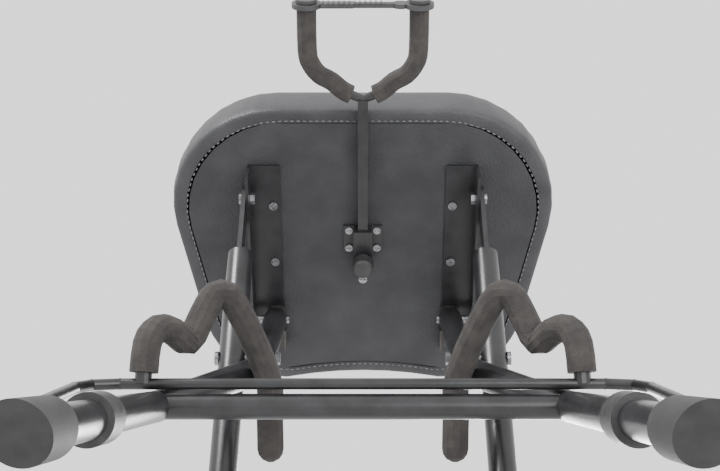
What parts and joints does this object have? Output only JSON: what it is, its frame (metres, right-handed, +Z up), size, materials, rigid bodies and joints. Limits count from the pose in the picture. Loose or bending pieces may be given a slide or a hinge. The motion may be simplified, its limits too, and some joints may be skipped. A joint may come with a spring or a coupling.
{
  "type": "guitar stool with built-in stand",
  "caption": "Folding padded stool with crossed tube legs, a slide-out neck yoke and a swing-out padded cradle that hold an instrument.",
  "frame": {"origin": "on the floor, below the seat clamp on the middle plane", "axes": "+Z up, +X to the right seen from the guitar side, -Y to the guitar side"},
  "size_m": [0.418, 0.4579, 0.656],
  "materials": {
    "frame_steel": "satin black powder coat",
    "plate_steel": "satin dark grey",
    "fastener": "black zinc, worn bright",
    "foam": "matt closed-cell foam",
    "rubber": "matt moulded rubber",
    "ring_trim": "matt red trim",
    "strap_rubber": "satin rubber",
    "moulded_plastic": "fine matt plastic",
    "cover": "grained black leatherette",
    "board": "board under black backing cloth"
  },
  "bodies": {
    "rear_frame": {"rear_leg_left": "frame_steel", "rear_leg_right": "frame_steel", "rear_crossbar": "frame_steel", "rear_foot_left": "rubber", "rear_foot_right": "rubber", "rear_foot_rings": "ring_trim", "pivot_bolts": "fastener", "seat_pivot_bolts": "fastener"},
    "front_frame": {"front_leg_left": "frame_steel", "front_leg_right": "frame_steel", "front_crossbar": "frame_steel", "front_foot_left": "rubber", "front_foot_right": "rubber", "front_foot_rings": "ring_trim", "leg_collar_left": "moulded_plastic", "leg_collar_right": "moulded_plastic", "cradle_pivot_pins": "fastener", "catch_pins": "fastener"},
    "cradle": {"cradle_rod": "frame_steel", "cradle_arm_left": "frame_steel", "cradle_arm_right": "frame_steel", "cradle_foam_left": "foam", "cradle_foam_right": "foam"},
    "seat": {"seat_board": "board", "cushion": "cover", "bracket_left": "frame_steel", "bracket_right": "frame_steel", "catch_plate_left": "plate_steel", "catch_plate_right": "plate_steel", "bracket_screws": "fastener", "rod_clamp": "frame_steel", "clamp_screws": "fastener"},
    "knob": {"clamp_knob": "moulded_plastic"},
    "yoke": {"slide_rod": "frame_steel", "rod_end_screw": "fastener", "yoke_core": "frame_steel", "yoke_foam_left": "foam", "yoke_foam_right": "foam", "yoke_cap_left": "strap_rubber", "yoke_cap_right": "strap_rubber", "neck_strap": "strap_rubber"}
  },
  "joints": [
    {"name": "seat_tilt", "type": "hinge", "parent": "rear_frame", "child": "seat", "pos_m": [0, -0.045, 0.585], "axis": [1, 0, 0], "range_deg": [0, 60]},
    {"name": "leg_fold", "type": "hinge", "parent": "rear_frame", "child": "front_frame", "pos_m": [0, 0.02529, 0.425], "axis": [1, 0, 0], "range_deg": [0, 21]},
    {"name": "cradle_swing", "type": "hinge", "parent": "front_frame", "child": "cradle", "pos_m": [0, -0.12661, 0.122], "axis": [1, 0, 0], "range_deg": [0, 110]},
    {"name": "yoke_slide", "type": "slide", "parent": "seat", "child": "yoke", "axis": [0, 1, 0], "range_m": [0, 0.085]},
    {"name": "knob_turn", "type": "hinge", "parent": "seat", "child": "knob", "pos_m": [0, 0.018, 0.575], "axis": [0, 0, 1], "continuous": true}
  ],
  "couplings": [
    {"joint": "leg_fold", "follows": "seat_tilt", "ratio": 0.35}
  ]
}
